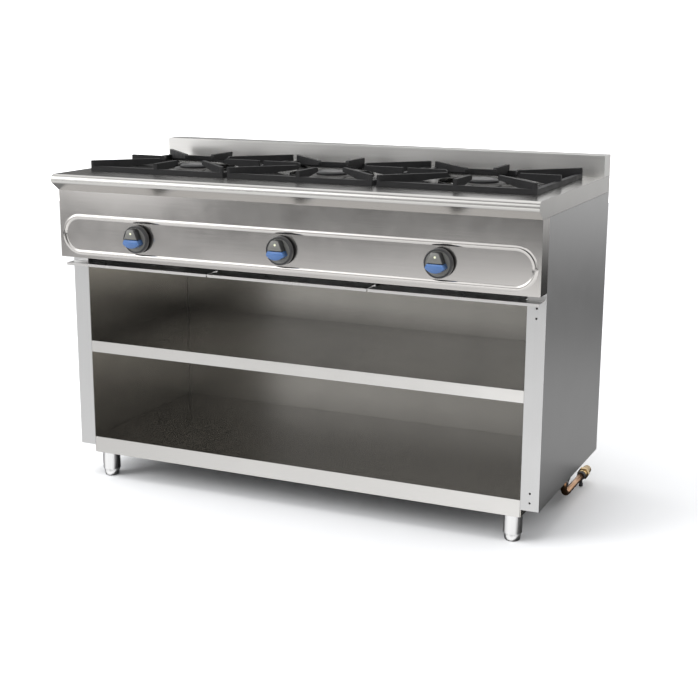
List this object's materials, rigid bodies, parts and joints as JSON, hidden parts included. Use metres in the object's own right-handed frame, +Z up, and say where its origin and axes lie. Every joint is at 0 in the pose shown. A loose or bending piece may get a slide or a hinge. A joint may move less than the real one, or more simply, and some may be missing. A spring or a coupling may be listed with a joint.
{
  "type": "commercial gas range",
  "caption": "Open-top gas range on an open stand: burners with lift-off cast iron pan supports, pull-out drip trays and push-and-turn knobs.",
  "frame": {"origin": "on the floor, at the centre of the footprint", "axes": "+Z up; the fascia and knobs face -Y; +X runs to the right along the width"},
  "size_m": [1.2, 0.588, 0.821],
  "materials": {
    "panel_steel": "vertical fine brushed, satin",
    "lining_steel": "fine brushed, satin",
    "shelf_steel": "fine brushed along its length",
    "worktop_steel": "fine brushed along its length, rolled nosing polished",
    "upstand_steel": "fine brushed along its length",
    "fascia_steel": "fine brushed along its length, polished bead",
    "tray_steel": "fine brushed",
    "foot_steel": "polished",
    "screw_steel": "bright zinc",
    "galvanised_sheet": "galvanised",
    "manifold_steel": "zinc-plated pipe",
    "cast_iron": "matt black enamel on sand-cast iron",
    "cast_iron_raw": "raw casting",
    "burner_iron": "machined casting, blued",
    "burner_enamel": "satin black enamel",
    "pilot_steel": "heat-stained",
    "copper_tube": "drawn copper, lightly tarnished",
    "brass": "machined brass",
    "test_cap": "black plastic cap on a brass nipple",
    "knob_plastic": "satin black moulded",
    "insert_plastic": "blue moulded"
  },
  "bodies": {
    "stand": {"left_side_panel": "panel_steel", "right_side_panel": "panel_steel", "left_inner_lining": "lining_steel", "right_inner_lining": "lining_steel", "back_panel": "lining_steel", "base_shelf": "shelf_steel", "mid_shelf": "shelf_steel", "worktop": "worktop_steel", "rear_upstand": "upstand_steel", "control_fascia": "fascia_steel", "rear_service_panel": "galvanised_sheet", "tray_runner_frame": "galvanised_sheet", "burner_rails": "galvanised_sheet", "gas_manifold": "manifold_steel", "gas_riser": "copper_tube", "riser_clips": "galvanised_sheet", "inlet_fitting": "brass", "test_point": "test_cap", "foot_sleeves": "foot_steel", "fasteners": "screw_steel", "burner_body_1": "cast_iron_raw", "injector_1": "brass", "pilot_burner_1": "pilot_steel", "supply_pipe_1": "copper_tube", "gas_valve_1": "brass", "burner_body_2": "cast_iron_raw", "injector_2": "brass", "pilot_burner_2": "pilot_steel", "supply_pipe_2": "copper_tube", "gas_valve_2": "brass", "burner_body_3": "cast_iron_raw", "injector_3": "brass", "pilot_burner_3": "pilot_steel", "supply_pipe_3": "copper_tube", "gas_valve_3": "brass"},
    "tray_1": {"drip_tray_1": "tray_steel"},
    "support_1": {"pan_support_1": "cast_iron"},
    "crown_1": {"burner_crown_1": "burner_iron"},
    "cap_1": {"burner_cap_1": "burner_enamel"},
    "spindle_1": {"valve_spindle_1": "brass"},
    "knob_1": {"knob_1": "knob_plastic", "knob_insert_1": "insert_plastic"},
    "tray_2": {"drip_tray_2": "tray_steel"},
    "support_2": {"pan_support_2": "cast_iron"},
    "crown_2": {"burner_crown_2": "burner_iron"},
    "cap_2": {"burner_cap_2": "burner_enamel"},
    "spindle_2": {"valve_spindle_2": "brass"},
    "knob_2": {"knob_2": "knob_plastic", "knob_insert_2": "insert_plastic"},
    "tray_3": {"drip_tray_3": "tray_steel"},
    "support_3": {"pan_support_3": "cast_iron"},
    "crown_3": {"burner_crown_3": "burner_iron"},
    "cap_3": {"burner_cap_3": "burner_enamel"},
    "spindle_3": {"valve_spindle_3": "brass"},
    "knob_3": {"knob_3": "knob_plastic", "knob_insert_3": "insert_plastic"},
    "foot_1": {"foot_1": "foot_steel"},
    "foot_2": {"foot_2": "foot_steel"},
    "foot_3": {"foot_3": "foot_steel"},
    "foot_4": {"foot_4": "foot_steel"}
  },
  "joints": [
    {"name": "tray_slide_1", "type": "slide", "parent": "stand", "child": "tray_1", "axis": [0, -1, 0], "range_m": [0, 0.4]},
    {"name": "tray_slide_2", "type": "slide", "parent": "stand", "child": "tray_2", "axis": [0, -1, 0], "range_m": [0, 0.4]},
    {"name": "tray_slide_3", "type": "slide", "parent": "stand", "child": "tray_3", "axis": [0, -1, 0], "range_m": [0, 0.4]},
    {"name": "support_lift_1", "type": "slide", "parent": "stand", "child": "support_1", "axis": [0, 0, 1], "range_m": [0, 0.12]},
    {"name": "support_lift_2", "type": "slide", "parent": "stand", "child": "support_2", "axis": [0, 0, 1], "range_m": [0, 0.12]},
    {"name": "support_lift_3", "type": "slide", "parent": "stand", "child": "support_3", "axis": [0, 0, 1], "range_m": [0, 0.12]},
    {"name": "crown_lift_1", "type": "slide", "parent": "stand", "child": "crown_1", "axis": [0, 0, 1], "range_m": [0, 0.04]},
    {"name": "cap_lift_1", "type": "slide", "parent": "crown_1", "child": "cap_1", "axis": [0, 0, 1], "range_m": [0, 0.04]},
    {"name": "crown_lift_2", "type": "slide", "parent": "stand", "child": "crown_2", "axis": [0, 0, 1], "range_m": [0, 0.04]},
    {"name": "cap_lift_2", "type": "slide", "parent": "crown_2", "child": "cap_2", "axis": [0, 0, 1], "range_m": [0, 0.04]},
    {"name": "crown_lift_3", "type": "slide", "parent": "stand", "child": "crown_3", "axis": [0, 0, 1], "range_m": [0, 0.04]},
    {"name": "cap_lift_3", "type": "slide", "parent": "crown_3", "child": "cap_3", "axis": [0, 0, 1], "range_m": [0, 0.04]},
    {"name": "knob_turn_1", "type": "hinge", "parent": "stand", "child": "spindle_1", "pos_m": [-0.378, -0.2, 0.6265], "axis": [0, -1, 0], "range_deg": [0, 180]},
    {"name": "knob_push_1", "type": "slide", "parent": "spindle_1", "child": "knob_1", "axis": [0, 1, 0], "range_m": [0, 0.003], "stiffness_N_per_m": 1500, "springref_m": -0.002},
    {"name": "knob_turn_2", "type": "hinge", "parent": "stand", "child": "spindle_2", "pos_m": [0, -0.2, 0.6265], "axis": [0, -1, 0], "range_deg": [0, 180]},
    {"name": "knob_push_2", "type": "slide", "parent": "spindle_2", "child": "knob_2", "axis": [0, 1, 0], "range_m": [0, 0.003], "stiffness_N_per_m": 1500, "springref_m": -0.002},
    {"name": "knob_turn_3", "type": "hinge", "parent": "stand", "child": "spindle_3", "pos_m": [0.378, -0.2, 0.6265], "axis": [0, -1, 0], "range_deg": [0, 180]},
    {"name": "knob_push_3", "type": "slide", "parent": "spindle_3", "child": "knob_3", "axis": [0, 1, 0], "range_m": [0, 0.003], "stiffness_N_per_m": 1500, "springref_m": -0.002},
    {"name": "foot_height_1", "type": "slide", "parent": "stand", "child": "foot_1", "axis": [0, 0, -1], "range_m": [0, 0.03]},
    {"name": "foot_height_2", "type": "slide", "parent": "stand", "child": "foot_2", "axis": [0, 0, -1], "range_m": [0, 0.03]},
    {"name": "foot_height_3", "type": "slide", "parent": "stand", "child": "foot_3", "axis": [0, 0, -1], "range_m": [0, 0.03]},
    {"name": "foot_height_4", "type": "slide", "parent": "stand", "child": "foot_4", "axis": [0, 0, -1], "range_m": [0, 0.03]}
  ]
}
